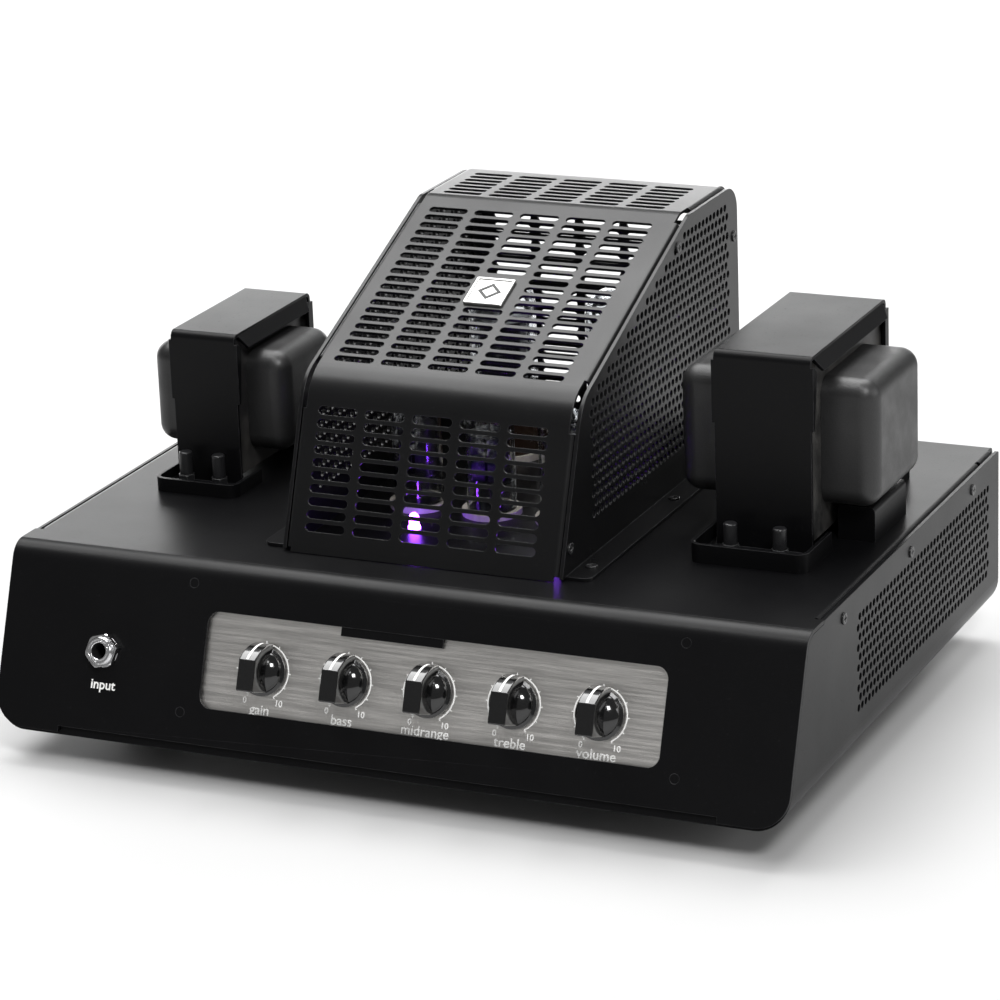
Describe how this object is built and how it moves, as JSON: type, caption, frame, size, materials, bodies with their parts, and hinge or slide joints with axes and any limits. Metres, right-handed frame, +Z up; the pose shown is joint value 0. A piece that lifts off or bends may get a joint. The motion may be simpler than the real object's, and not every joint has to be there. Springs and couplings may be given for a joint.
{
  "type": "guitar amplifier head",
  "caption": "Valve guitar amplifier head: slim black chassis with a raked control face, slotted cage over the valves, transformers at both sides.",
  "frame": {"origin": "middle of the bounding box in plan, on the surface that the feet stand on", "axes": "+X to the right seen from the front, +Y to the back, +Z up"},
  "size_m": [0.3464, 0.2698, 0.1992],
  "materials": {
    "chassis_paint": "satin black powder coat",
    "cage_paint": "satin black powder coat",
    "strap_paint": "satin black paint",
    "bell_paint": "textured black paint",
    "core_steel": "black lacquer over stacked laminations",
    "black_screw": "black oxide",
    "silver_screw": "bright zinc plate",
    "brushed_plate": "horizontal brushed grain",
    "plain_steel": "plain turned steel",
    "knob_plastic": "gloss black",
    "black_plastic": "fine matt black",
    "rocker_plastic": "satin black",
    "chrome": "polished",
    "rubber": "moulded black rubber",
    "board": "green solder mask",
    "badge_metal": "polished rim, fine brushed middle",
    "socket_ceramic": "glazed ceramic",
    "bakelite": "dark brown moulding",
    "valve_glass": "clear",
    "anode_metal": "dark carbonised metal",
    "capacitor_sleeve": "shrink sleeve"
  },
  "bodies": {
    "chassis": {"front_panel": "chassis_paint", "top_cover": "chassis_paint", "bent_flanges": "chassis_paint", "base_tray": "chassis_paint", "rear_panel": "chassis_paint", "chassis_screws": "black_screw", "feet": "rubber", "foot_screws": "silver_screw", "control_plate": "brushed_plate", "plate_studs": "chassis_paint", "plate_nuts": "plain_steel", "potentiometers": "black_plastic", "pot_nuts": "plain_steel", "front_board": "board", "input_jack": "black_plastic", "rear_jacks": "black_plastic", "jack_washers": "chrome", "jack_nuts": "chrome", "mains_inlet": "black_plastic", "mains_switch_frame": "black_plastic", "standby_switch_frame": "black_plastic", "line_out_socket": "black_plastic", "button_housing": "black_plastic", "cage_side_right": "cage_paint", "cage_side_left": "cage_paint", "cage_cover": "cage_paint", "cage_screws": "black_screw", "badge_plate": "badge_metal", "valve_sockets": "socket_ceramic", "power_valve_glass": "valve_glass", "power_valve_bases": "bakelite", "power_valve_anodes": "anode_metal", "small_valve_glass": "valve_glass", "small_valve_anodes": "anode_metal", "output_transformer_strap": "strap_paint", "output_transformer_core": "core_steel", "output_transformer_bells": "bell_paint", "output_transformer_bolts": "black_screw", "mains_transformer_strap": "strap_paint", "mains_transformer_core": "core_steel", "mains_transformer_bells": "bell_paint", "mains_transformer_bolts": "black_screw", "lead_shroud": "strap_paint", "main_board": "board", "board_standoffs": "plain_steel", "filter_capacitors": "capacitor_sleeve"},
    "gain_control": {"gain_knob": "knob_plastic", "gain_shaft": "plain_steel"},
    "bass_control": {"bass_knob": "knob_plastic", "bass_shaft": "plain_steel"},
    "midrange_control": {"midrange_knob": "knob_plastic", "midrange_shaft": "plain_steel"},
    "treble_control": {"treble_knob": "knob_plastic", "treble_shaft": "plain_steel"},
    "volume_control": {"volume_knob": "knob_plastic", "volume_shaft": "plain_steel"},
    "mains_rocker": {"mains_switch_rocker": "rocker_plastic"},
    "standby_rocker": {"standby_switch_rocker": "rocker_plastic"},
    "fuse_holder": {"fuse_drawer": "black_plastic"},
    "lift_button": {"ground_lift_button": "black_plastic"}
  },
  "joints": [
    {"name": "gain_turn", "type": "hinge", "parent": "chassis", "child": "gain_control", "pos_m": [-0.05378, -0.11921, 0.04825], "axis": [0, -0.9337, 0.358], "range_deg": [-150, 150]},
    {"name": "bass_turn", "type": "hinge", "parent": "chassis", "child": "bass_control", "pos_m": [-0.01739, -0.11921, 0.04825], "axis": [0, -0.9337, 0.358], "range_deg": [-150, 150]},
    {"name": "midrange_turn", "type": "hinge", "parent": "chassis", "child": "midrange_control", "pos_m": [0.019, -0.11921, 0.04825], "axis": [0, -0.9337, 0.358], "range_deg": [-150, 150]},
    {"name": "treble_turn", "type": "hinge", "parent": "chassis", "child": "treble_control", "pos_m": [0.05539, -0.11921, 0.04825], "axis": [0, -0.9337, 0.358], "range_deg": [-150, 150]},
    {"name": "volume_turn", "type": "hinge", "parent": "chassis", "child": "volume_control", "pos_m": [0.09178, -0.11921, 0.04825], "axis": [0, -0.9337, 0.358], "range_deg": [-150, 150]},
    {"name": "mains_rock", "type": "hinge", "parent": "chassis", "child": "mains_rocker", "pos_m": [0.086, 0.12539, 0.05], "axis": [0, 0, 1], "range_deg": [-24, 0]},
    {"name": "standby_rock", "type": "hinge", "parent": "chassis", "child": "standby_rocker", "pos_m": [0.052, 0.12539, 0.05], "axis": [0, 0, 1], "range_deg": [-24, 0]},
    {"name": "fuse_slide", "type": "slide", "parent": "chassis", "child": "fuse_holder", "axis": [0, 1, 0], "range_m": [0, 0.015]},
    {"name": "ground_lift_press", "type": "slide", "parent": "chassis", "child": "lift_button", "axis": [0, -1, 0], "range_m": [0, 0.003]}
  ]
}
